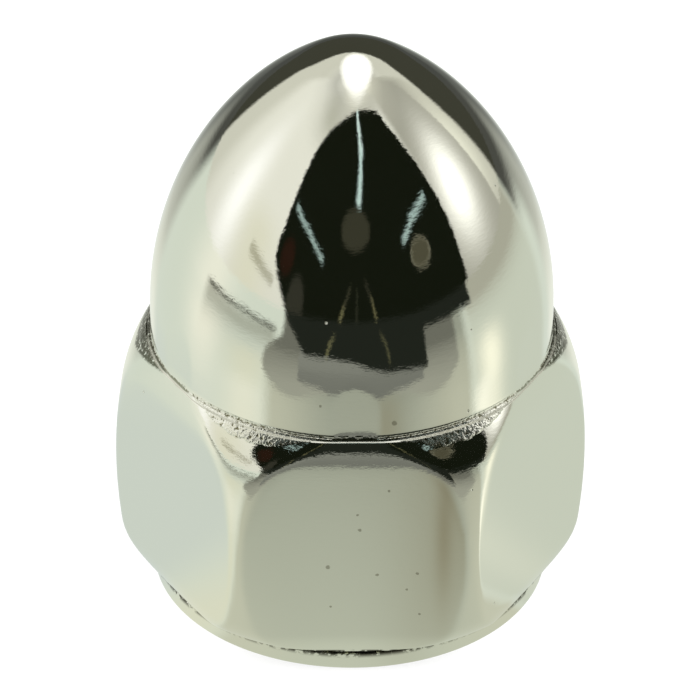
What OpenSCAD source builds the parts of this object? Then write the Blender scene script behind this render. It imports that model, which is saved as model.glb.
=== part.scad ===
// Domed cap nut, forged and tapped as one piece of steel, then buffed and plated.
// Z runs up the thread axis, and z = 0 is the bearing face. Two flats face along Y.

/* [Hexagon] */
// Width across flats
flats_w = 15.875; // [15.7:0.025:16.1]
// Height of the ledge round the dome, above the bearing face
hex_h = 10.75; // [10.5:0.05:11.2]
// Radius of the upright edges between the flats
edge_r = 0.9; // [0.5:0.1:1.2]

/* [Buffed edges of the flats] */
// Height of the soft roll at the top of each flat
top_roll_h = 1.3; // [0.8:0.05:1.4]
// Height of the soft roll at the foot of each flat
foot_roll_h = 0.8; // [0.6:0.05:1]
// How far both rolls lean in from the flat
roll_in = 0.2; // [0.1:0.01:0.22]
// Height of the lip below the roll at the foot
lip_h = 0.17; // [0.1:0.01:0.25]

/* [Turned corners] */
// Widest diameter of the barrel that trims the six corners
barrel_d = 18.2; // [18:0.05:18.4]
// Height of that widest place
barrel_z = 5.1; // [4.8:0.1:5.4]
// Radius of the barrel's long curve
barrel_r = 17.3; // [16:0.1:20]
// Height where the tighter shoulder takes over from the barrel
shoulder_z = 8.7; // [8.6:0.1:9]
// Radius of the shoulder below the ledge
shoulder_r = 5; // [4.6:0.1:5.4]
// Radius of the rounded foot of the corners
foot_r = 1.65; // [1.5:0.05:2.2]

/* [Dome] */
// Diameter of the dome at its foot
dome_d = 15.4; // [15:0.05:15.45]
// Height of the straight band between the ledge and the dome's curve
band_h = 1.2; // [0.6:0.05:1.6]
// Radius of the blunt nose
nose_r = 3.7; // [3.2:0.1:4.2]
// Overall height
total_h = 23.25; // [22.5:0.25:24]

/* [Washer face] */
// Diameter of the bearing face
washer_d = 15.1; // [14.8:0.05:15.2]
// Height of the washer face
washer_h = 0.72; // [0.6:0.02:0.76]
// Radius of its lower edge
washer_edge_r = 0.12; // [0.06:0.02:0.2]
// Diameter of the narrow groove above it
groove_d = 14.7; // [14.6:0.05:14.75]
// Height of the hexagon's underside
underside_z = 0.9; // [0.86:0.02:1]

/* [Tapped hole] */
// Diameter of the tap drill for a 7/16-14 thread
drill_d = 9.347; // [9.2:0.01:9.5]
// Depth of the full drill diameter
drill_h = 15; // [14:0.5:15.5]
// Angle of the drill's point
drill_angle = 118; // [110:1:135]
// Diameter of the countersink at the mouth
mouth_d = 11.9; // [11.4:0.1:12.4]
// Depth of the countersink
mouth_h = 0.75; // [0.5:0.05:0.9]

/* [Hidden] */
$fn = 96;
cut = 1;            // how far a cutting shape runs past the face that it cuts
barrel_steps = 12;  // short cones that make up the barrel's long curve

flat_r = flats_w / 2;
dome_r = dome_d / 2;
drill_r = drill_d / 2;
corner_r = flat_r / cos(30);

// A roll is an arc that leaves the flat at a tangent and leans in by roll_in over its height.
function roll_r(h) = (h * h + roll_in * roll_in) / (2 * roll_in);
top_roll_r = roll_r(top_roll_h);
foot_roll_r = roll_r(foot_roll_h);
top_roll_z = hex_h - top_roll_h;
foot_roll_z = underside_z + lip_h + foot_roll_h;

// The shoulder and the foot touch the barrel's curve from inside, so all three run smoothly together.
barrel_x = barrel_d / 2 - barrel_r;
shoulder_a = asin((shoulder_z - barrel_z) / barrel_r);
shoulder_x = barrel_x + (barrel_r - shoulder_r) * cos(shoulder_a);
shoulder_cz = shoulder_z - shoulder_r * sin(shoulder_a);
foot_cz = underside_z + foot_r;
foot_a = asin((barrel_z - foot_cz) / (barrel_r - foot_r));
foot_x = barrel_x + (barrel_r - foot_r) * cos(foot_a);
foot_z = barrel_z - barrel_r * sin(foot_a);

// The flank is one arc, upright at the top of the band and tangent to the round nose.
flank_z = hex_h + band_h;
nose_z = total_h - nose_r;
flank_r = (pow(dome_r, 2) + pow(nose_z - flank_z, 2) - pow(nose_r, 2)) / (2 * (dome_r - nose_r));
flank_x = dome_r - flank_r;
flank_top_z = nose_z + nose_r * (nose_z - flank_z) / (flank_r - nose_r);

// Half outline between two heights, bounded by an arc about (x, z).
module arc_band(x, z, r, low, high) {
    inner = max(x, 0);
    intersection() {
        translate([x, z]) circle(r);
        translate([inner, low]) square([x + r - inner, high - low]);
    }
    if (inner > 0) translate([0, low]) square([inner, high - low]);
}

// Half outline between two heights, bounded by an upright line.
module straight_band(r, low, high) {
    translate([0, low]) square([r, high - low]);
}

// The turned shape that the six corners are trimmed to. Its long curve is stepped into short cones.
module corner_outline() {
    arc_band(foot_x, foot_cz, foot_r, underside_z, foot_z);
    polygon([[0, foot_z], for (i = [0:barrel_steps])
        let (a = -foot_a + i * (foot_a + shoulder_a) / barrel_steps)
        [barrel_x + barrel_r * cos(a), barrel_z + barrel_r * sin(a)], [0, shoulder_z]]);
    arc_band(shoulder_x, shoulder_cz, shoulder_r, shoulder_z, hex_h);
}

// Half of the section across two opposite flats, with their soft rolls.
module flat_outline() {
    arc_band(flat_r - foot_roll_r, foot_roll_z, foot_roll_r, underside_z, foot_roll_z);
    straight_band(flat_r, foot_roll_z, top_roll_z);
    arc_band(flat_r - top_roll_r, top_roll_z, top_roll_r, top_roll_z, hex_h);
}

module dome_outline() {
    straight_band(dome_r, hex_h - cut, flank_z);
    arc_band(flank_x, flank_z, flank_r, flank_z, flank_top_z);
    arc_band(0, nose_z, nose_r, flank_top_z, total_h);
}

module washer_outline() {
    arc_band(washer_d / 2 - washer_edge_r, washer_edge_r, washer_edge_r, 0, washer_edge_r);
    straight_band(washer_d / 2, washer_edge_r, washer_h);
    straight_band(groove_d / 2, washer_h, underside_z + cut);
}

// Two opposite flats as one slab, as long as the hexagon is wide.
module flat_pair() {
    rotate([90, 0, 90]) translate([0, 0, -corner_r - cut])
        linear_extrude(2 * (corner_r + cut)) {
            flat_outline();
            mirror([1, 0]) flat_outline();
        }
}

// Hexagon whose upright edges are rounded to edge_r.
module round_hexagon() {
    centre_r = corner_r - edge_r / cos(30);
    polygon([for (i = [0:5], side = [-30, 30])
        centre_r * [cos(60 * i), sin(60 * i)] + edge_r * [cos(60 * i + side), sin(60 * i + side)]]);
    for (i = [0:5]) translate(centre_r * [cos(60 * i), sin(60 * i)]) circle(edge_r);
}

module hexagon() {
    intersection() {
        rotate_extrude() corner_outline();
        linear_extrude(hex_h + cut) round_hexagon();
        intersection_for (i = [0:2]) rotate(60 * i) flat_pair();
    }
}

module tapped_hole() {
    translate([0, 0, -cut]) cylinder(r = drill_r, h = drill_h + cut);
    translate([0, 0, drill_h]) cylinder(r1 = drill_r, r2 = 0, h = drill_r / tan(drill_angle / 2));
    mouth_slope = (mouth_d / 2 - drill_r) / mouth_h;
    translate([0, 0, -cut])
        cylinder(r1 = mouth_d / 2 + cut * mouth_slope, r2 = drill_r, h = mouth_h + cut);
}

module cap_nut() {
    color([0.87, 0.87, 0.77]) difference() {
        union() {
            hexagon();
            rotate_extrude() dome_outline();
            rotate_extrude() washer_outline();
        }
        tapped_hole();
    }
}

cap_nut();
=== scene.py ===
"""Domed cap nut on a pale table inside a light tent, laid out as a Blender add-on."""

import math

import bpy
from bpy.props import FloatProperty, FloatVectorProperty, IntProperty, PointerProperty
from mathutils import Matrix, Vector


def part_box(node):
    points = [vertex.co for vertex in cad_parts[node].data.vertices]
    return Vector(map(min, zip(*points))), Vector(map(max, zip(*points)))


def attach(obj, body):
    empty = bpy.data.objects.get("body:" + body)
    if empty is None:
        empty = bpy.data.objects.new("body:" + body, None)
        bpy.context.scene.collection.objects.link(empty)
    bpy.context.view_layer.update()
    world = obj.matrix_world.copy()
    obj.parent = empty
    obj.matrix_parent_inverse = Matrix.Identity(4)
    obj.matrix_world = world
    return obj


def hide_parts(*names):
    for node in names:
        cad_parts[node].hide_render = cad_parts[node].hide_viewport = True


bl_info = {
    "name": "Domed cap nut",
    "version": (1, 0, 0),
    "blender": (4, 5, 0),
    "location": "3D View > Sidebar > Cap nut",
    "description": "Builds a bright plated cap nut, its thread and a small light tent round it",
    "category": "Object",
}

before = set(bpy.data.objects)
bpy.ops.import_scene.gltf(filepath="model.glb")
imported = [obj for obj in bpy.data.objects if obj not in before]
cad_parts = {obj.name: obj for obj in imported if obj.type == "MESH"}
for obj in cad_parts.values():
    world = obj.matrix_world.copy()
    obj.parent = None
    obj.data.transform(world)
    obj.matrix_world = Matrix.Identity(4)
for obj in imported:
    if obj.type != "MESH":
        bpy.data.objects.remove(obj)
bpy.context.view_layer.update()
NUT_LOW, NUT_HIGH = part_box("cap_nut")
MM = 0.001


# ---------------------------------------------------------------- settings

def length(name, description, default):
    """A length in metres, given here in millimetres."""
    return FloatProperty(name=name, description=description, default=default * MM,
                         min=0.0, precision=5, unit="LENGTH", subtype="DISTANCE")


def degrees(name, description, default):
    """An angle, given here in degrees."""
    return FloatProperty(name=name, description=description, default=math.radians(default),
                         subtype="ANGLE")


def colour(name, description, default):
    """A colour as red, green and blue."""
    return FloatVectorProperty(name=name, description=description, default=default,
                               size=3, min=0.0, soft_max=1.0, subtype="COLOR")


class NutSizes(bpy.types.PropertyGroup):
    """Sizes of the turned and milled body."""
    flats_w: FloatProperty(
        name="Across flats", description="Width across two opposite flats",
        default=NUT_HIGH.y - NUT_LOW.y, precision=5, unit="LENGTH", subtype="DISTANCE")
    total_h: FloatProperty(
        name="Height", description="Overall height",
        default=NUT_HIGH.z - NUT_LOW.z, precision=5, unit="LENGTH", subtype="DISTANCE")
    hex_h: length("Hexagon height", "Height of the ledge round the dome", 10.75)
    ledge_drop: length("Ledge drop", "How far the ledge falls towards the corners", 0.12)
    edge_r: length("Edge radius", "Radius of the upright edges", 0.35)
    top_roll_h: length("Top roll", "Height of the soft roll at the top of each flat", 1.5)
    foot_roll_h: length("Foot roll", "Height of the soft roll at the foot of each flat", 0.8)
    top_roll_in: length("Top roll lean", "How far the top roll leans in from the flat", 0.25)
    foot_roll_in: length("Foot roll lean", "How far the foot roll leans in", 0.18)
    lip_h: length("Lip", "Height of the lip below the roll at the foot", 0.17)
    barrel_d: length("Barrel diameter", "Widest diameter of the turned corners", 18.06)
    barrel_z: length("Barrel height", "Height of the widest place", 5.1)
    barrel_r: length("Barrel radius", "Radius of the barrel's long curve", 21.5)
    shoulder_z: length("Shoulder height", "Height where the tighter shoulder starts", 8.4)
    shoulder_r: length("Shoulder radius", "Radius of the shoulder", 5.0)
    foot_r: length("Foot radius", "Radius of the rounded foot of the corners", 1.45)
    dome_d: length("Dome diameter", "Diameter of the dome at its foot", 15.4)
    band_h: length("Dome band", "Height of the straight band at the dome's foot", 1.2)
    nose_r: length("Nose radius", "Radius of the blunt nose", 3.7)
    washer_d: length("Washer face", "Diameter of the bearing face", 15.1)
    washer_h: length("Washer height", "Height of the washer face", 0.72)
    washer_edge_r: length("Washer edge", "Radius of the washer face's lower edge", 0.12)
    groove_d: length("Groove diameter", "Diameter of the groove above the washer face", 14.7)
    underside_z: length("Underside", "Height of the hexagon's underside", 0.9)
    steps: IntProperty(name="Facets", description="Facets round the nut", default=384, min=48)


class ThreadSizes(bpy.types.PropertyGroup):
    """Sizes of the tapped hole."""
    drill_r: length("Drill radius", "Radius of the tap drill", 4.6735)
    drill_h: length("Drill depth", "Depth of the full drill diameter", 15.0)
    drill_angle: degrees("Drill point", "Angle of the drill's point", 118.0)
    mouth_r: length("Mouth radius", "Radius of the countersink at the mouth", 5.95)
    mouth_h: length("Mouth depth", "Depth of the countersink", 0.75)
    major_r: length("Thread radius", "Radius at the bottom of the thread", 5.556)
    pitch: length("Pitch", "Advance of the thread in one turn", 1.8143)
    thread_h: length("Thread depth", "Height where the full thread ends", 11.8)
    steps: IntProperty(name="Facets", description="Facets round the hole", default=96, min=24)


class Finish(bpy.types.PropertyGroup):
    """Colours and gloss of the plating, with painted shade and a painted reflection."""
    plate: colour("Plate", "Colour of the polished plating", (0.87, 0.87, 0.765))
    dull_plate: colour("Dull plate", "Colour of the pits where no wheel reached",
                       (0.20, 0.19, 0.11))
    # Painted reflection: this colour darkens the ledge's side corners in place of the mirrored
    # rear opening.
    side_reflection: colour("Side patches", "Colour of the dull patches on the two side corners",
                       (0.13, 0.13, 0.085))
    # Painted shade: this colour darkens the foot of the dome, where the ledge meets it.
    crease_shade: colour("Crease", "Colour of the dirt along the foot of the dome", (0.16, 0.15, 0.08))
    # Painted shade: this colour darkens the groove under the hexagon's overhang.
    painted_shade: colour("Dirt", "Colour of the dirt in the groove", (0.12, 0.115, 0.09))
    pit: colour("Pits", "Colour of the small pits on the front", (0.26, 0.24, 0.17))
    # A brown tint down one edge of the front flat.
    streak: colour("Stain", "Tint of the brown stain on the front flat", (0.76, 0.70, 0.62))
    hole: colour("Hole", "Colour of the thinly plated thread", (0.46, 0.45, 0.41))
    gloss: FloatProperty(name="Polish", description="Roughness of the polished plating",
                         default=0.035, min=0.0, max=1.0, subtype="FACTOR")
    dull: FloatProperty(name="Dullness", description="Roughness in the ledge's corner",
                        default=0.2, min=0.0, max=1.0, subtype="FACTOR")


class Studio(bpy.types.PropertyGroup):
    """Camera and light tent."""
    azimuth: degrees("Azimuth", "Direction from the nut to the camera", -91.4)
    elevation: degrees("Elevation", "Height of the camera above the horizon", 34.04)
    roll: FloatProperty(name="Roll", description="Turn of the camera about its own axis",
                        default=0.0086, precision=4, subtype="ANGLE")
    distance: length("Distance", "Distance of the camera from the nut", 381.0)
    aim_h: length("Aim height", "Height that the camera looks at", 11.1125)
    aim_right: length("Aim right", "How far the nut stands right of the view's centre", 0.0516)
    aim_up: length("Aim up", "How far the aim stands above the view's centre", 1.2617)
    lens: FloatProperty(name="Lens", description="Focal length", default=171.108, unit="CAMERA")
    sensor: FloatProperty(name="Sensor", description="Width of the sensor", default=12.0,
                          unit="CAMERA")
    tent: colour("Tent", "Colour of the tent's walls", (1.0, 1.0, 0.955))
    side: colour("Side wall", "Colour of the tent's shaded wall", (1.0, 0.99, 0.90))
    floor: colour("Table", "Colour of the table", (0.93, 0.93, 0.92))
    table_w: length("Table width", "Width of the square table", 6000.0)


# ---------------------------------------------------------------- mesh tools

def deselect():
    """Leaves nothing selected, in object mode."""
    if bpy.context.object and bpy.context.object.mode != "OBJECT":
        bpy.ops.object.mode_set(mode="OBJECT")
    for item in list(bpy.context.selected_objects):
        item.select_set(False)


def named(name):
    """The object just added, renamed."""
    piece = bpy.context.object
    piece.name = name
    piece.data.name = name
    return piece


def pick(piece):
    """Selects one piece and makes it the active one."""
    deselect()
    piece.select_set(True)
    bpy.context.view_layer.objects.active = piece


def edit(piece, mode):
    """Edit mode on one piece, with all of it selected."""
    pick(piece)
    bpy.ops.object.mode_set(mode="EDIT")
    bpy.ops.mesh.select_mode(type=mode)
    bpy.ops.mesh.select_all(action="SELECT")


def select(piece, mode, test):
    """Selects the vertices, edges or faces that pass a test, in edit mode."""
    edit(piece, mode)
    bpy.ops.mesh.select_all(action="DESELECT")
    bpy.ops.object.mode_set(mode="OBJECT")
    mesh = piece.data
    parts = {"VERT": mesh.vertices, "EDGE": mesh.edges, "FACE": mesh.polygons}[mode]
    for part in parts:
        part.select = test(part)
    bpy.ops.object.mode_set(mode="EDIT")


def done():
    """Back to object mode."""
    bpy.ops.object.mode_set(mode="OBJECT")


def modify(piece, kind, **settings):
    """Adds a modifier and applies it."""
    pick(piece)
    modifier = piece.modifiers.new(kind.title(), kind)
    for key, value in settings.items():
        setattr(modifier, key, value)
    bpy.ops.object.modifier_apply(modifier=modifier.name)


def cut(piece, tool, operation):
    """One boolean with an exact solver. The tool is used up."""
    modify(piece, "BOOLEAN", operation=operation, solver="EXACT", object=tool)
    bpy.data.objects.remove(tool)


def arc(centre_r, centre_z, radius, start, end, step):
    """Points on an arc of a half outline, from one angle to another."""
    count = max(1, math.ceil(abs(end - start) * radius / step))
    angles = [start + (end - start) * i / count for i in range(count + 1)]
    return [(centre_r + radius * math.cos(a), centre_z + radius * math.sin(a)) for a in angles]


def line(start, end, step):
    """Points on a straight run of a half outline."""
    count = max(1, math.ceil(math.dist(start, end) / step))
    return [(start[0] + (end[0] - start[0]) * i / count,
             start[1] + (end[1] - start[1]) * i / count) for i in range(count + 1)]


def outline(*runs):
    """Joins runs of points into one outline, each point once."""
    points = []
    for run in runs:
        for point in run:
            if not points or math.dist(points[-1], point) > 1e-7:
                points.append(point)
    return points


def draw(name, points):
    """Draws a chain of edges in the XZ plane, one extrusion at a time, from a single vertex."""
    deselect()
    start = (points[0][0], 0.0, points[0][1])
    bpy.ops.mesh.primitive_plane_add(size=MM, location=start)
    piece = named(name)
    bpy.ops.object.transform_apply(location=True, rotation=False, scale=False)
    edit(piece, "VERT")
    bpy.ops.mesh.merge(type="CENTER")
    for old, new in zip(points, points[1:]):
        step = (new[0] - old[0], 0.0, new[1] - old[1])
        bpy.ops.mesh.extrude_region_move(TRANSFORM_OT_translate={"value": step})
    done()
    return piece


def turn(name, points, steps):
    """A solid of revolution from a half outline that starts and ends on the axis."""
    piece = draw(name, points)
    edit(piece, "VERT")
    bpy.ops.mesh.spin(steps=steps, angle=2 * math.pi, center=(0, 0, 0), axis=(0, 0, 1))
    bpy.ops.mesh.select_all(action="SELECT")
    bpy.ops.mesh.remove_doubles(threshold=0.002 * MM)
    bpy.ops.mesh.normals_make_consistent(inside=False)
    done()
    return piece


# ---------------------------------------------------------------- the nut

def roll_radius(height, lean):
    """Radius of an arc that leaves the flat at a tangent and leans in over its height."""
    return (height ** 2 + lean ** 2) / (2 * lean)


def body_outline(s):
    """Half outline of the turned blank, from the tip of the dome to the bearing face."""
    coarse, fine = 0.25 * MM, 0.12 * MM     # longest facets of the dome and of the hexagon
    soft = 0.05 * MM                        # radius of the corners that no size names
    dome_r, flank_z, nose_z = s.dome_d / 2, s.hex_h + s.band_h, s.total_h - s.nose_r
    flank_r = ((dome_r ** 2 + (nose_z - flank_z) ** 2 - s.nose_r ** 2)
               / (2 * (dome_r - s.nose_r)))
    flank_c = dome_r - flank_r
    meet = math.atan2(nose_z - flank_z, -flank_c)

    barrel_c = s.barrel_d / 2 - s.barrel_r
    up = math.asin((s.shoulder_z - s.barrel_z) / s.barrel_r)
    shoulder_c = barrel_c + (s.barrel_r - s.shoulder_r) * math.cos(up)
    shoulder_cz = s.shoulder_z - s.shoulder_r * math.sin(up)
    foot_cz = s.underside_z + s.foot_r
    down = -math.asin((s.barrel_z - foot_cz) / (s.barrel_r - s.foot_r))
    foot_c = barrel_c + (s.barrel_r - s.foot_r) * math.cos(down)

    groove_r, washer_r, edge = s.groove_d / 2, s.washer_d / 2, s.washer_edge_r
    rim_z = s.hex_h - s.ledge_drop
    top = math.asin((rim_z - shoulder_cz) / s.shoulder_r)
    rim_r = shoulder_c + s.shoulder_r * math.cos(top)
    under = -math.acos((groove_r - foot_c) / s.foot_r)
    under_z = foot_cz + s.foot_r * math.sin(under)
    return outline(
        arc(0, nose_z, s.nose_r, math.pi / 2, meet, coarse),
        arc(flank_c, flank_z, flank_r, meet, 0, coarse),
        line((dome_r, flank_z), (dome_r, s.hex_h + soft), coarse),
        arc(dome_r + soft, s.hex_h + soft, soft, math.pi, 1.5 * math.pi, soft / 2),
        line((dome_r + soft, s.hex_h), (rim_r, rim_z), fine),
        arc(shoulder_c, shoulder_cz, s.shoulder_r, top, up, fine),
        arc(barrel_c, s.barrel_z, s.barrel_r, up, down, fine),
        arc(foot_c, foot_cz, s.foot_r, down, under, fine),
        line((groove_r, under_z), (groove_r, s.washer_h + soft), soft),
        arc(washer_r - soft, s.washer_h - soft, soft, math.pi / 2, 0, soft / 2),
        line((washer_r, s.washer_h - soft), (washer_r, edge), fine),
        arc(washer_r - edge, edge, edge, 0, -math.pi / 2, edge / 4),
        line((washer_r - edge, 0), (0, 0), washer_r),
    )


def milling_tool(s):
    """Hexagon prism with rounded upright edges. Its flats roll in at the top and at the foot."""
    beyond = 2 * MM         # how far the tool runs past the blank at either end
    over_rim = 0.12 * MM    # how far the top roll goes on above the ledge
    slices = 14             # straight facets in each roll
    flat_r = s.flats_w / 2
    top_r = roll_radius(s.top_roll_h, s.top_roll_in)
    foot_r = roll_radius(s.foot_roll_h, s.foot_roll_in)
    top_z = s.hex_h - s.top_roll_h
    foot_z = s.underside_z + s.lip_h + s.foot_roll_h
    deselect()
    bpy.ops.mesh.primitive_cylinder_add(
        vertices=6, radius=flat_r / math.cos(math.radians(30)), depth=top_z - foot_z,
        location=(0, 0, (top_z + foot_z) / 2), rotation=(0, 0, math.radians(30)))
    tool = named("milling_tool")
    bpy.ops.object.transform_apply(location=True, rotation=True, scale=True)
    ends = [v.co.z for v in tool.data.vertices]
    select(tool, "EDGE", lambda e: abs(ends[e.vertices[0]] - ends[e.vertices[1]]) > MM)
    bpy.ops.mesh.bevel(offset=s.edge_r * math.tan(math.radians(30)), segments=16, profile=0.5,
                       affect="EDGES")
    for sign, edge_z, radius, reach, end in (
            (1, top_z, top_r, s.top_roll_h + over_rim, s.total_h - s.hex_h + beyond),
            (-1, foot_z, foot_r, s.foot_roll_h + s.lip_h, beyond)):
        select(tool, "FACE", lambda f: f.normal.z * sign > 0.9)
        size, gone = 1.0, 0.0
        for i in range(1, slices + 1):
            rise = reach * i / slices
            lean = radius - math.sqrt(radius ** 2 - rise ** 2)
            bpy.ops.mesh.extrude_region_move(
                TRANSFORM_OT_translate={"value": (0, 0, sign * (rise - gone))})
            grown = 1 - lean / flat_r
            bpy.ops.transform.resize(value=(grown / size, grown / size, 1),
                                     center_override=(0, 0, edge_z))
            size, gone = grown, rise
        bpy.ops.mesh.extrude_region_move(TRANSFORM_OT_translate={"value": (0, 0, sign * end)})
        done()
    return tool


def hole_tool(t):
    """What drill, countersink and tap take away, as one solid."""
    below = MM      # how far it stands out of the bearing face
    slope = (t.mouth_r - t.drill_r) / t.mouth_h
    point_z = t.drill_h + t.drill_r / math.tan(t.drill_angle / 2)
    core = turn("hole_tool", [
        (0, -below), (t.mouth_r + below * slope, -below), (t.drill_r, t.mouth_h),
        (t.drill_r, t.drill_h), (0, point_z)], t.steps)

    # Screwed tooth of 60 degrees, with its root inside the drilled wall.
    tooth_h = t.major_r - t.drill_r
    root_r = t.drill_r - 0.1 * MM
    flank = (tooth_h + t.drill_r - root_r) * math.tan(math.radians(30))
    crest = t.pitch / 8
    root = t.pitch - 2 * flank - crest
    start = -3 * t.pitch
    turns = math.ceil(t.thread_h / t.pitch) + 7
    tap = draw("tap", [(root_r, start), (root_r, start + root),
                       (t.major_r, start + root + flank),
                       (t.major_r, start + root + flank + crest),
                       (root_r, start + t.pitch)])
    modify(tap, "SCREW", axis="Z", screw_offset=t.pitch, iterations=turns, steps=t.steps,
           render_steps=t.steps, use_merge_vertices=True, merge_threshold=0.002 * MM)

    # Its spare turns are cut off level below the mouth and above the thread.
    lead_top = t.thread_h + 1.5 * MM
    edit(tap, "VERT")
    bpy.ops.mesh.remove_doubles(threshold=0.002 * MM)
    bpy.ops.mesh.bisect(plane_co=(0, 0, -below / 2), plane_no=(0, 0, 1), use_fill=True,
                        clear_inner=True)
    bpy.ops.mesh.select_all(action="SELECT")
    bpy.ops.mesh.bisect(plane_co=(0, 0, lead_top + 0.1 * MM), plane_no=(0, 0, 1), use_fill=True,
                        clear_outer=True)
    bpy.ops.mesh.select_all(action="SELECT")
    bpy.ops.mesh.normals_make_consistent(inside=False)
    done()

    # The tap's tapered lead lets the thread run out into the drilled wall.
    lead = turn("lead", [
        (0, -below * 2), (t.major_r + MM, -below * 2), (t.major_r + MM, t.thread_h - MM),
        (t.drill_r - 0.3 * MM, lead_top), (0, lead_top)], t.steps)
    cut(tap, lead, "INTERSECT")
    cut(core, tap, "UNION")
    return core


def buff(nut, s):
    """Softens the hexagon's edges like a buffing wheel, most of all just below the rim."""
    start, span, least = 6.5 * MM, 2.5 * MM, 0.1
    low, high = s.underside_z + 0.1 * MM, s.hex_h - 0.1 * MM
    buffed = nut.vertex_groups.new(name="buffed")
    for v in nut.data.vertices:
        if low < v.co.z < high and v.co.xy.length > s.groove_d / 2 + 0.01 * MM:
            near_rim = min(max((v.co.z - start) / span, 0.0), 1.0)
            buffed.add([v.index], least + (1 - least) * near_rim, "REPLACE")
    modify(nut, "SMOOTH", factor=0.5, iterations=40, vertex_group=buffed.name)
    nut.vertex_groups.clear()


def closed(piece):
    """Raises an error if any edge of the piece doesn't have exactly two faces."""
    uses = {}
    for polygon in piece.data.polygons:
        for key in polygon.edge_keys:
            uses[key] = uses.get(key, 0) + 1
    if any(count != 2 for count in uses.values()) or len(uses) != len(piece.data.edges):
        raise RuntimeError(f"{piece.name} isn't closed")


class OBJECT_OT_cap_nut(bpy.types.Operator):
    """Turn the blank, mill and buff its flats, then drill and tap it"""
    bl_idname = "cap_nut.body"
    bl_label = "Cap nut"

    def execute(self, context):
        scene = context.scene
        s, t = scene.nut_sizes, scene.nut_thread
        nut = turn("nut", body_outline(s), s.steps)
        tool = milling_tool(s)
        modify(nut, "SHRINKWRAP", target=tool, wrap_method="NEAREST_SURFACEPOINT",
               wrap_mode="INSIDE")
        bpy.data.objects.remove(tool)
        buff(nut, s)
        cut(nut, hole_tool(t), "DIFFERENCE")
        edit(nut, "VERT")
        bpy.ops.mesh.remove_doubles(threshold=0.001 * MM)
        bpy.ops.mesh.dissolve_degenerate(threshold=0.0005 * MM)
        bpy.ops.mesh.select_all(action="SELECT")
        bpy.ops.mesh.normals_make_consistent(inside=False)
        done()
        pick(nut)
        bpy.ops.object.shade_smooth_by_angle(angle=math.radians(32))
        closed(nut)
        nut.data.materials.clear()
        nut.data.materials.append(bright_plate(scene.nut_finish, s))
        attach(nut, "root")
        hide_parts("cap_nut")
        return {"FINISHED"}


# ---------------------------------------------------------------- shader maths

class Value:
    """A socket that can be added, multiplied and compared like a number."""

    def __init__(self, graph, socket):
        self.graph, self.socket = graph, socket

    def _math(self, operation, *others):
        """A Math node with this value first."""
        return self.graph.node("ShaderNodeMath", [self, *others], operation=operation)

    def __add__(self, other):
        return self._math("ADD", other)

    __radd__ = __add__

    def __sub__(self, other):
        return self._math("SUBTRACT", other)

    def __rsub__(self, other):
        return self.graph.node("ShaderNodeMath", [other, self], operation="SUBTRACT")

    def __mul__(self, other):
        return self._math("MULTIPLY", other)

    def __truediv__(self, other):
        return self._math("DIVIDE", other)

    def __rtruediv__(self, other):
        return self.graph.node("ShaderNodeMath", [other, self], operation="DIVIDE")

    def __pow__(self, exponent):
        return self._math("POWER", exponent)

    def __abs__(self):
        return self._math("ABSOLUTE")

    def above(self, edge, soft):
        """0 below the edge and 1 above it, with a smooth step as wide as soft."""
        return self.graph.node(
            "ShaderNodeMapRange", [self, edge - soft / 2, edge + soft / 2, 0.0, 1.0],
            interpolation_type="SMOOTHSTEP")

    def below(self, edge, soft):
        """1 below the edge and 0 above it."""
        return 1 - self.above(edge, soft)

    def hump(self, centre, spread):
        """A bell curve, 1 at its centre and 0.37 at the spread."""
        away = (self - centre) / spread
        return (away * away * -1.0)._math("EXPONENT")


class Graph:
    """A node tree that gives one output of each new node back as a Value."""

    def __init__(self, tree):
        self.tree = tree
        tree.nodes.clear()

    def node(self, kind, inputs=(), output=0, **settings):
        """Adds a node. Inputs are a list in socket order or a dict by name or number."""
        new = self.tree.nodes.new(kind)
        for key, value in settings.items():
            if key == "stops":
                ramp = new.color_ramp
                while len(ramp.elements) < len(value):
                    ramp.elements.new(0.5)
                for element, (place, shade) in zip(ramp.elements, value):
                    element.position, element.color = place, (*shade, 1.0)
            else:
                setattr(new, key, value)
        pairs = inputs.items() if isinstance(inputs, dict) else enumerate(inputs)
        for key, value in pairs:
            if isinstance(value, Value):
                self.tree.links.new(value.socket, new.inputs[key])
            else:
                new.inputs[key].default_value = value
        return Value(self, new.outputs[output]) if new.outputs else None

    def mix(self, factor, first, second, blend_type="MIX"):
        """Mixes two colours, which are inputs 6 and 7 of the node. The result is output 2."""
        first, second = (shade if isinstance(shade, Value) else (*shade, 1.0)
                         for shade in (first, second))
        return self.node("ShaderNodeMix", {0: factor, 6: first, 7: second}, output=2,
                         data_type="RGBA", blend_type=blend_type)

    def tinted(self, shade, tint):
        """One colour multiplied by another."""
        return self.mix(1.0, shade, tint, blend_type="MULTIPLY")

    def place(self):
        """Position on the object itself."""
        return self.node("ShaderNodeTexCoord", output="Object")

    def rays(self, *names):
        """Light Path outputs by name."""
        outputs = self.node("ShaderNodeLightPath").socket.node.outputs
        return [Value(self, outputs[name]) for name in names]

    def parts(self, vector):
        """X, Y and Z of a vector."""
        new = self.node("ShaderNodeSeparateXYZ", [vector]).socket.node
        return [Value(self, socket) for socket in new.outputs]

    def scaled(self, vector, scale):
        """A vector stretched along X, Y and Z."""
        return self.node("ShaderNodeMapping", {"Vector": vector, "Scale": scale})

    def along(self, vector, axis):
        """Length of a vector along an axis."""
        return self.node("ShaderNodeVectorMath", [vector, tuple(axis)], output="Value",
                         operation="DOT_PRODUCT")

    def shades(self, value, tint, *stops):
        """Tinted grey that follows a value from 0 to 1 through stops of place and shade."""
        greys = [(place, (shade,) * 3) for place, shade in stops]
        return self.tinted(self.node("ShaderNodeValToRGB", [value], stops=greys), tint)

    def noise(self, vector, scale, detail=3.0, roughness=0.5):
        """Random grey blotches."""
        return self.node("ShaderNodeTexNoise", {
            "Vector": vector, "Scale": scale, "Detail": detail, "Roughness": roughness})


# ---------------------------------------------------------------- the plating

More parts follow.
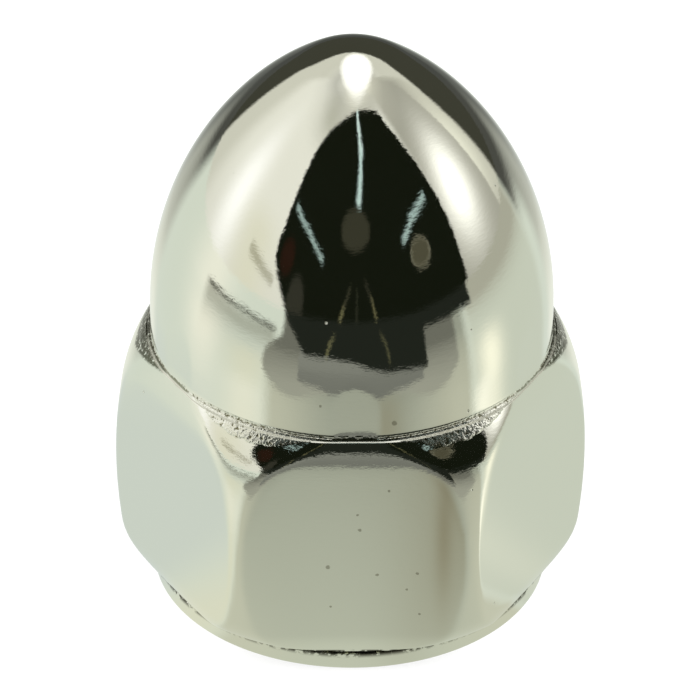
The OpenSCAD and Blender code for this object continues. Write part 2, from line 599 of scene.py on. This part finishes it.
# Small dark pits on the front: across, height and radius in millimetres.
PITS = (
    (-1.00, 5.05, 0.09), (0.86, 4.68, 0.06), (2.38, 4.73, 0.06), (2.00, 3.99, 0.05),
    (0.18, 6.75, 0.07), (0.10, 7.45, 0.05), (-0.89, 3.21, 0.05), (2.49, 2.84, 0.05),
    (1.28, 8.55, 0.06), (1.45, 11.40, 0.11), (-1.33, 12.20, 0.06),
)


def bright_plate(finish, s):
    """Buffed and plated steel. Dull and grainy where the wheel couldn't reach, with painted shade
    and a painted reflection in places.
    """
    material = bpy.data.materials.new("bright_plate")
    material.use_nodes = True
    g = Graph(material.node_tree)

    # Lengths are in millimetres here. Corner is 1 over the hexagon's corners, 0 over its flats.
    place = g.scaled(g.place(), (1 / MM, 1 / MM, 1 / MM))
    x, y, z = g.parts(place)
    radius = g.node("ShaderNodeVectorMath", [g.scaled(place, (1, 1, 0))], output="Value",
                    operation="LENGTH")
    around = g.node("ShaderNodeMath", [y, x], operation="ARCTAN2")
    corner = g.node("ShaderNodeMath", [around * 6.0], operation="COSINE") * 0.5 + 0.5
    dome_r, hex_h = s.dome_d / 2 / MM, s.hex_h / MM
    grain = g.noise(place, 6.5, 2.0, 0.6)
    blots = g.noise(place, 2.3, 3.0, 0.6)

    # Sandy ledge, wider at the corners than at the flats.
    reach = corner * 0.45 + (dome_r - 0.05) + (blots - 0.5) * 0.2
    ledge = (radius - reach).below(0.0, 0.05) * z.above(9.9, 0.2) * z.below(hex_h + 0.12, 0.08)

    # Painted shade along the foot of the dome, where the ledge meets it.
    crease_shade = (radius.below(dome_r + 0.03, 0.03) * z.above(hex_h - 0.3, 0.05)
              * (z + (grain - 0.5) * 0.3).below(hex_h + 0.03, 0.05))

    # Bright lip round the ledge, worn away over the corners.
    lip = z.hump(hex_h - 0.10, 0.05) * radius.above(dome_r - 0.04, 0.03) * corner.below(0.95, 0.1)

    # Painted reflection: dark patches on the two side corners, where the ledge would mirror the
    # dark rear opening, lowest in the middle.
    side = ((z - abs(y) * 0.24 + (grain - 0.5) * 0.25).above(9.9, 0.12) * abs(x).above(7.0, 0.4)
            * radius.above(dome_r + 0.03, 0.03) * z.below(hex_h + 0.05, 0.03))

    # Painted shade in the groove over the washer face, under the hexagon's overhang, broken up.
    groove = z.above(0.58, 0.22) * z.below(1.04, 0.06) * radius.above(7.2, 0.1)
    groove = groove * (blots + (grain - 0.5) * 0.5).above(0.46, 0.12)
    hole = radius.below(5.7, 0.3) * z.below(17.9, 0.1)

    base = g.mix(ledge * grain.below(0.39, 0.10), finish.plate, finish.dull_plate)
    base = g.mix(side * grain.below(0.60, 0.08), base, finish.side_reflection)
    base = g.mix(crease_shade * blots.above(0.4, 0.2) * 0.8, base, finish.crease_shade)
    base = g.mix(lip, base, finish.plate)
    base = g.mix(groove, base, finish.painted_shade)
    base = g.mix(hole, base, finish.hole)

    # Brown streak down one edge of the front flat, and the pits.
    face = y.below(-6.0, 0.5)
    streak = x.hump(3.36, 0.34) * face * z.hump(6.6, 3.2)
    base = g.mix(streak * 0.8, base, g.tinted(base, finish.streak))
    marks = 0.0
    for across, high, size in PITS:
        aside, above = x - across + (grain - 0.5) * 0.16, z - high
        marks = (aside * aside + above * above).below(size ** 2, size ** 2) + marks
    marks = marks * face
    base = g.mix(marks * 0.6, base, finish.pit)

    # Pin holes in the plating, in one cell of five.
    cell = {"Vector": place, "Scale": 0.9}
    pick_one = g.parts(g.node("ShaderNodeTexVoronoi", cell, output="Color"))[0].above(0.80, 0.01)
    pin = (g.node("ShaderNodeTexVoronoi", cell).below(0.045, 0.03) * pick_one
           * z.above(1.2, 0.2))

    smear = g.noise(g.scaled(place, (1, 1, 3)), 0.3, 4.0, 0.6)
    rough = (smear - 0.5) * 0.03 + finish.gloss
    rough = (rough + ledge * (finish.dull - finish.gloss) + hole * 0.22 + pin * 0.5
             + groove * 0.3 + lip * 0.25 + marks * 0.15)

    # Heights in microns: orange peel, a fine grain drawn out round the nut, turning marks low
    # on the dome, the sandy ledge, the pin holes and the rounded lip.
    peel = g.noise(place, 0.9, 1.0) * 3.0
    shoulder = z.above(8.9, 1.0) * z.below(hex_h + 0.1, 0.2)
    drawn = g.noise(g.scaled(place, (2.6, 2.6, 7.0)), 1.0, 3.0, 0.7) * (shoulder * 2.2 + 2.2)
    rings = g.noise(g.node("ShaderNodeCombineXYZ", [around * 0.5, z * 9.0, 0.0]), 1.0, 3.0)
    low = z.below(14.0, 3.0) * z.above(hex_h, 0.2)
    height = peel + drawn + rings * low * blots.above(0.45, 0.3) * 1.2 + ledge * grain * 30.0
    height = height - pin * 30.0 - z.above(hex_h - 0.11, 0.10) * 60.0
    normal = g.node("ShaderNodeBump", {
        "Strength": 1.0, "Distance": 0.001 * MM, "Height": height})
    shader = g.node("ShaderNodeBsdfPrincipled", {
        "Base Color": base, "Metallic": 1.0, "Roughness": rough, "Normal": normal})
    g.node("ShaderNodeOutputMaterial", {"Surface": shader})
    return material


# ---------------------------------------------------------------- masks by direction

def heading(studio, azimuth):
    """Level direction at some degrees to the right of the camera's own."""
    angle = studio.azimuth + math.radians(azimuth)
    return Vector((math.cos(angle), math.sin(angle), 0.0))


def bearing(g, studio, vector, zero=0.0):
    """Degrees to the right of the camera's own heading, counted from a zero right of it."""
    side, front = (g.along(vector, heading(studio, zero + turned)) for turned in (90.0, 0.0))
    return g.node("ShaderNodeMath", [side, front], operation="ARCTAN2") * math.degrees(1)


def rounded(across, up, half_width, half_height, bend, soft):
    """Mask of a rectangle with rounded corners."""
    reach = abs(across / half_width) ** bend + abs(up / half_height) ** bend
    return reach.below(1.0, soft)


def strip(across, up, start, end, half_width, soft):
    """Mask of a straight strip between two points, fading over 3 units at each end."""
    run = (end[0] - start[0], end[1] - start[1])
    size = math.hypot(*run)
    run = (run[0] / size, run[1] / size)
    along = (across - start[0]) * run[0] + (up - start[1]) * run[1]
    aside = abs((across - start[0]) * run[1] - (up - start[1]) * run[0])
    return aside.below(half_width, soft) * along.above(0.0, 3.0) * along.below(size, 3.0)


def oval(across, up, centre, half, soft):
    """Mask of an oval, from half its width and height."""
    across = (across - centre[0]) / half[0]
    up = (up - centre[1]) / half[1]
    return (across * across + up * up).below(1.0, soft)


def glow(across, up, centre, spread):
    """Mask of a patch that fades out all round."""
    return across.hump(centre[0], spread[0]) * up.hump(centre[1], spread[1])


# ---------------------------------------------------------------- the tent

# What stands in the dark room before the nut, by azimuth and elevation in degrees.
# Ovals: centre, half the width and height, softness, colour.
ROOM_OVALS = (
    ((2.3, 31.0), (10.5, 7.2), 0.6, (0.042, 0.042, 0.029)),
    ((45.4, 17.6), (6.9, 5.2), 0.2, (0.17, 0.165, 0.125)),
    ((45.4, 17.6), (5.9, 4.4), 0.5, (0.082, 0.078, 0.053)),
    ((-42.0, 16.5), (4.5, 6.0), 1.2, (0.022, 0.010, 0.006)),
    ((-33.0, 3.0), (5.0, 9.0), 0.9, (0.034, 0.034, 0.026)),
)
# Bars: both ends, half the width, softness, colour.
ROOM_BARS = (
    ((11.6, 73.0), (11.2, 56.0), 2.6, 4.0, (0.66, 0.82, 0.84)),
    ((11.2, 58.0), (5.0, 39.0), 1.8, 3.0, (0.58, 0.76, 0.78)),
    ((-46.0, 33.0), (-30.0, 27.0), 0.8, 1.4, (0.42, 0.56, 0.57)),
    ((-31.0, 27.5), (-18.5, 19.5), 0.8, 1.4, (0.42, 0.56, 0.57)),
    ((62.0, 31.5), (45.0, 29.0), 1.1, 2.0, (0.42, 0.56, 0.57)),
    ((46.0, 29.4), (35.0, 23.5), 1.0, 1.8, (0.42, 0.56, 0.57)),
    ((-4.0, 5.5), (-9.0, -6.5), 0.5, 1.1, (0.20, 0.19, 0.10)),
    ((11.0, 8.5), (16.0, -6.5), 0.4, 1.0, (0.17, 0.16, 0.085)),
    ((2.8, 11.0), (2.7, -5.0), 0.4, 1.2, (0.030, 0.032, 0.022)),
    ((-0.8, 12.0), (-4.6, 4.0), 0.5, 1.4, (0.045, 0.045, 0.03)),
    ((8.0, 14.0), (11.5, 6.0), 0.5, 1.4, (0.035, 0.035, 0.025)),
)
# Lamps in the side walls: centre, spread, share, colour.
WALL_LAMPS = (
    ((-91.0, 16.5), (10.5, 20.0), 0.55, (1.5, 1.5, 1.62)),
    ((88.0, 22.0), (14.0, 14.5), 1.0, (1.65, 1.65, 1.65)),
)


def tent_walls(g, studio, azimuth, elevation):
    """Cloth of the tent with the lamps behind it, by direction in degrees."""
    rise = elevation / 90.0
    left = g.shades(rise, studio.tent, (0.0, 0.80), (0.22, 0.87), (0.55, 0.88), (0.67, 0.81),
                    (0.76, 0.64), (0.80, 0.58), (0.88, 0.74), (0.95, 1.0))
    right = g.shades(rise, studio.side, (0.0, 0.42), (0.3, 0.46), (0.55, 0.41), (0.67, 0.47),
                     (0.78, 0.62), (0.88, 1.0), (0.95, 1.0))
    sky = g.mix(azimuth.above(66.0, 12.0) * azimuth.below(124.0, 6.0), left, right)
    sky = g.mix(rise.above(0.72, 0.1) * azimuth.above(-30.0, 60.0) * 0.6, sky, right)
    slack = glow(azimuth, elevation, (-48.0, 64.0), (22.0, 9.0))
    sky = g.mix(slack * 0.7, sky, (0.46, 0.46, 0.40))
    post = azimuth.above(113.0, 2.0) * azimuth.below(124.0, 6.0)
    sky = g.mix(post * elevation.hump(17.0, 17.0), sky, (0.92, 0.92, 0.83))
    back_wall = abs(azimuth).above(118.0, 16.0)
    sky = g.mix(back_wall * elevation.below(64.0, 20.0) * 0.75, sky, (0.62, 0.62, 0.56))
    for centre, spread, share, shine in WALL_LAMPS:
        sky = g.mix(glow(azimuth, elevation, centre, spread) * share, sky, shine)
    return sky


def dark_room(g, azimuth, elevation):
    """What the front opening shows."""
    room = (0.007, 0.009, 0.005)
    for centre, half, soft, shade in ROOM_OVALS:
        room = g.mix(oval(azimuth, elevation, centre, half, soft), room, shade)
    for start, end, half, soft, shade in ROOM_BARS:
        room = g.mix(strip(azimuth, elevation, start, end, half, soft), room, shade)
    return room


def tent_light(studio):
    """White tent with a dark opening before and behind the nut, and three soft lamps."""
    world = bpy.data.worlds.new("tent")
    world.use_nodes = True
    g = Graph(world.node_tree)
    direction = g.node("ShaderNodeTexCoord", output="Generated")
    azimuth = bearing(g, studio, direction)
    height = g.along(direction, (0, 0, 1))
    elevation = g.node("ShaderNodeMath", [height], operation="ARCSINE") * math.degrees(1)
    sky = tent_walls(g, studio, azimuth, elevation)

    # Lamp over the tent, from just before the nut to well behind it.
    back = g.along(direction, heading(studio, 0.0)) / height + 0.44
    side = g.along(direction, heading(studio, 90.0)) / height - 0.05
    reach = (back * back) / 0.42 + (side * side) / 0.072
    sky = g.mix(reach.below(1.0, 0.8) * height.above(0.3, 0.1), sky, (1.35, 1.35, 1.38))

    # Seam low on the left wall, and the cream cloth under it.
    sky = g.mix(azimuth.hump(-66.0, 14.0) * elevation.below(22.0, 14.0) * 0.8, sky,
                (0.79, 0.78, 0.66))
    seam = strip(azimuth, elevation, (-68.0, 11.5), (-48.0, 6.5), 1.6, 3.2)
    sky = g.mix(seam * 0.6, sky, (0.22, 0.205, 0.125))

    behind = bearing(g, studio, direction, 174.0)
    rear = rounded(behind, elevation, 49.5, 40.5, 5.0, 0.4)
    sky = g.mix(rear, sky, (0.052, 0.053, 0.041))

    # Front opening: a rounded rectangle on an upright wall, with two corners cut off.
    ahead = g.along(direction, heading(studio, 11.5))
    across = g.along(direction, heading(studio, 101.5)) / ahead
    up = height / ahead
    across = across + (g.noise(direction, 16.0, 3.0) - 0.5) * 0.3
    front = rounded(across + 0.05, up - 1.0, 1.77, 2.0, 5.0, 0.25) * ahead.above(0.05, 0.05)
    front = front * (across + up * 0.34).below(2.05, 0.05)
    front = front * (azimuth + elevation * 0.85).above(-38.0, 2.0)
    sky = g.mix(front, sky, dark_room(g, azimuth, elevation))

    # Only the metal sees the tent. The view shows plain white behind the table.
    glossy, camera, through = g.rays("Is Glossy Ray", "Is Camera Ray", "Is Transmission Ray")
    white = g.node("ShaderNodeMath", [camera, through], operation="MAXIMUM")
    plain = g.node("ShaderNodeBackground", {"Color": g.mix(white, (0.8, 0.8, 0.8), (1, 1, 1))})
    mirrored = g.node("ShaderNodeBackground", {"Color": sky})
    light = g.node("ShaderNodeMixShader", [glossy, plain, mirrored])
    g.node("ShaderNodeOutputWorld", {"Surface": light})
    return world


# ---------------------------------------------------------------- the table

def side_cloth(g, azimuth, away):
    """Table cloth under the tent's two side walls, by azimuth in degrees and distance in mm."""
    pale, grey, far_grey = (0.71, 0.77, 0.715), (0.63, 0.675, 0.61), (0.44, 0.44, 0.385)
    right = azimuth.above(64.0, 6.0) * azimuth.below(122.0, 8.0)
    shade = g.mix(right, pale, g.mix(away.above(110.0, 120.0), grey, far_grey))

    # Bright under the left lamp, cream beside it, two bright places under the right lamp, and
    # grey close to the nut on the left.
    shade = g.mix(azimuth.hump(-86.0, 16.0) * away.above(60.0, 90.0) * 0.9, shade,
                  (0.95, 0.95, 0.88))
    shade = g.mix(glow(azimuth, away, (-83.0, 46.0), (12.0, 22.0)) * 0.85, shade,
                  (0.99, 0.98, 0.90))
    cream = g.mix(away.hump(25.0, 6.0), (0.78, 0.79, 0.67), (0.88, 0.885, 0.79))
    shade = g.mix(azimuth.hump(-54.0, 13.0) * away.below(50.0, 20.0) * 0.9, shade, cream)
    shade = g.mix(glow(azimuth, away, (75.5, 34.0), (8.0, 17.0)), shade, (1.1, 1.09, 0.95))
    shade = g.mix(glow(azimuth - away * 0.75, away, (51.5, 19.5), (6.0, 6.5)), shade,
                  (1.18, 1.17, 1.06))
    return g.mix(azimuth.below(-72.0, 16.0) * away.below(21.0, 8.0), shade, (0.66, 0.72, 0.70))


def rear_cloth(g, studio, place, azimuth, away, shade):
    """Adds the cloth behind the nut, darker towards the rear opening and on its two flanks."""
    behind = bearing(g, studio, place, 177.0)
    near = away - behind.hump(0.0, 12.0) * 17.0
    middle = g.shades(near / 160.0, (1.0, 1.05, 1.0), (0.15, 0.86), (0.20, 0.72), (0.26, 0.46),
                      (0.34, 0.24), (0.44, 0.15), (1.0, 0.07))
    flank = g.shades(away / 220.0, (1.0, 1.03, 0.95), (0.11, 0.86), (0.16, 0.69), (0.19, 0.57),
                     (0.25, 0.48), (0.36, 0.385), (0.50, 0.28), (0.68, 0.147), (1.0, 0.075))
    aside = abs(behind - 3.0)
    far_right = azimuth.above(120.0, 4.0) * aside.below(57.0, 6.0) * away.above(95.0, 70.0)
    rear = g.mix(aside.above(28.0, 14.0), middle, flank)
    return g.mix(aside.below(48.0, 12.0), g.mix(far_right, shade, flank), rear)


def front_cloth(g, place, azimuth, away, shade):
    """Adds the cloth before the nut. It runs out from under the tent into a dark room."""
    inward = azimuth - away.above(75.0, 60.0) * 9.0
    near = g.shades(away / 160.0, (1.0, 1.06, 0.925), (0.05, 0.58), (0.065, 0.50),
                    (0.11, 0.45), (0.14, 0.40), (0.19, 0.345))
    wings = abs(azimuth - 8.0).above(32.0, 34.0) * away.below(50.0, 60.0)
    near = g.mix(wings * 0.6, near, (0.66, 0.665, 0.56))
    near = g.mix(glow(azimuth, away, (17.0, 21.0), (9.0, 11.0)) * 0.5, near,
                 (0.24, 0.21, 0.13))
    shade = g.mix(inward.above(-42.0, 9.0) * azimuth.below(62.0, 6.0), shade, near)

    # Outside the tent it lies in three grey lobes.
    ripple = g.noise(g.scaled(place, (60.0, 60.0, 60.0)), 1.0, 2.0)
    wave = (ripple - 0.5) * 6.0
    aside = abs(azimuth - 5.0)
    outer = away + aside.hump(35.0, 13.0) * 4.5 - abs(aside / 51.0) ** 10.0 * 9.0
    outer = aside.below(51.0, 3.0) * inward.above(-46.0, 3.0) * outer.above(33.0, 2.5)
    shade = g.mix(outer, shade, g.shades(
        away / 160.0, (1.0, 1.02, 0.90), (0.21, 0.36), (0.29, 0.295), (0.375, 0.23),
        (0.44, 0.165)))
    inner = (away + wave - aside ** 1.3 * 0.11).above(28.0, 1.6) * aside.below(31.5, 1.6)
    shade = g.mix(inner, shade, g.shades(
        away / 160.0, (1.0, 1.035, 0.96), (0.17, 0.178), (0.27, 0.20), (0.32, 0.235)))

    # The dark room's floor, with two pale legs that stand on it.
    edge = 65.0 - azimuth.above(5.0, 36.0) * 20.0 + wave
    dark = (away - edge).above(0.0, 3.0) * azimuth.below(39.0, 1.5) + away.above(142.0, 16.0)
    dark = dark * (azimuth - 900.0 / away).above(-38.0, 3.0) * azimuth.below(69.0, 1.5)
    legs = (strip(azimuth, away, (-8.6, 165.0), (-13.0, 64.0), 0.5, 1.0)
            + strip(azimuth, away, (15.0, 190.0), (19.5, 56.0), 0.4, 0.9) * 0.6)
    return g.mix(dark, shade, g.mix(legs, (0.016, 0.019, 0.015), (0.16, 0.155, 0.085)))


def table_top(studio):
    """Pale table that keeps the nut's shadow. The metal shows how the tent lights it."""
    material = bpy.data.materials.new("table_top")
    material.use_nodes = True
    g = Graph(material.node_tree)
    place = g.place()
    azimuth = bearing(g, studio, place)
    away = g.node("ShaderNodeVectorMath", [place], output="Value", operation="LENGTH") / MM

    shade = side_cloth(g, azimuth, away)
    shade = rear_cloth(g, studio, place, azimuth, away, shade)
    shade = front_cloth(g, place, azimuth, away, shade)

    # A fold in the cloth under the left wall, with its soft shadow before it.
    crest = 118.0 + azimuth.hump(-62.0, 14.0) * 16.0
    fold = azimuth.above(-87.0, 6.0) * azimuth.below(-41.0, 5.0)
    shade = g.mix(fold * away.hump(88.0, 30.0) * 0.62, shade, (0.26, 0.265, 0.22))
    shade = g.mix(fold * (away - crest).hump(0.0, 13.0), shade, (0.045, 0.045, 0.03))

    # Seen directly it is pale paint, most of it covered with plain white.
    white_share = 0.78
    camera, glossy = g.rays("Is Camera Ray", "Is Glossy Ray")
    paint = g.node("ShaderNodeBsdfDiffuse", {"Color": (*studio.floor, 1.0)})
    white = g.node("ShaderNodeEmission", {"Color": (1.0, 1.0, 1.0, 1.0)})
    plain = g.node("ShaderNodeMixShader", [camera * white_share, paint, white])
    mirrored = g.node("ShaderNodeEmission", {"Color": shade})
    surface = g.node("ShaderNodeMixShader", [glossy, plain, mirrored])
    g.node("ShaderNodeOutputMaterial", {"Surface": surface})
    return material


class OBJECT_OT_nut_stage(bpy.types.Operator):
    """Set up the camera, the table and the light tent with its dark openings"""
    bl_idname = "cap_nut.stage"
    bl_label = "Light tent"

    def execute(self, context):
        scene = context.scene
        studio = scene.nut_studio
        scene.view_settings.view_transform = "Standard"

        aim = Vector((0, 0, studio.aim_h))
        level = heading(studio, 0.0) * math.cos(studio.elevation)
        out = level + Vector((0, 0, math.sin(studio.elevation)))
        right = Vector((0, 0, 1)).cross(out).normalized()
        up = out.cross(right)
        eye = aim + out * studio.distance
        centre = aim - right * studio.aim_right - up * studio.aim_up
        bpy.ops.object.camera_add(location=eye)
        camera = named("camera")
        look = (centre - eye).to_track_quat("-Z", "Y").to_matrix().to_4x4()
        camera.matrix_world = (Matrix.Translation(eye) @ look
                               @ Matrix.Rotation(studio.roll, 4, "Z"))
        camera.data.lens = studio.lens
        camera.data.sensor_width = studio.sensor
        camera.data.clip_start = 10 * MM
        scene.camera = camera

        deselect()
        bpy.ops.mesh.primitive_plane_add(size=studio.table_w)
        table = named("table")
        edit(table, "FACE")
        bpy.ops.mesh.subdivide(number_cuts=3)
        done()
        table.data.materials.append(table_top(studio))

        # The softboxes light the table. The metal sees the lamps of the tent instead.
        beside, over, width = 0.5, 0.35, 0.4
        for name, azimuth, watts in (("left_softbox", -90.0, 6.0), ("right_softbox", 90.0, 7.0)):
            spot = heading(studio, azimuth) * beside + Vector((0, 0, over))
            bpy.ops.object.light_add(type="AREA", location=spot)
            light = named(name)
            light.rotation_euler = (-spot).to_track_quat("-Z", "Y").to_euler()
            light.data.size = width
            light.data.energy = watts
            light.visible_glossy = False
        scene.world = tent_light(studio)
        return {"FINISHED"}


# ---------------------------------------------------------------- the add-on

class VIEW3D_PT_cap_nut(bpy.types.Panel):
    """Sizes and finish of the cap nut"""
    bl_label = "Cap nut"
    bl_idname = "VIEW3D_PT_cap_nut"
    bl_space_type = "VIEW_3D"
    bl_region_type = "UI"
    bl_category = "Cap nut"

    def draw(self, context):
        column = self.layout.column()
        column.operator(OBJECT_OT_nut_stage.bl_idname)
        column.operator(OBJECT_OT_cap_nut.bl_idname)
        for group in ("nut_sizes", "nut_thread", "nut_finish", "nut_studio"):
            settings = getattr(context.scene, group)
            for key in settings.__annotations__:
                column.prop(settings, key)


CLASSES = (NutSizes, ThreadSizes, Finish, Studio, OBJECT_OT_cap_nut, OBJECT_OT_nut_stage,
           VIEW3D_PT_cap_nut)
GROUPS = {"nut_sizes": NutSizes, "nut_thread": ThreadSizes, "nut_finish": Finish,
          "nut_studio": Studio}


def register():
    for item in CLASSES:
        bpy.utils.register_class(item)
    for name, group in GROUPS.items():
        setattr(bpy.types.Scene, name, PointerProperty(type=group))


def unregister():
    for name in GROUPS:
        delattr(bpy.types.Scene, name)
    for item in reversed(CLASSES):
        bpy.utils.unregister_class(item)


def main():
    register()
    bpy.ops.cap_nut.stage()
    bpy.ops.cap_nut.body()


if __name__ == "__main__":
    main()
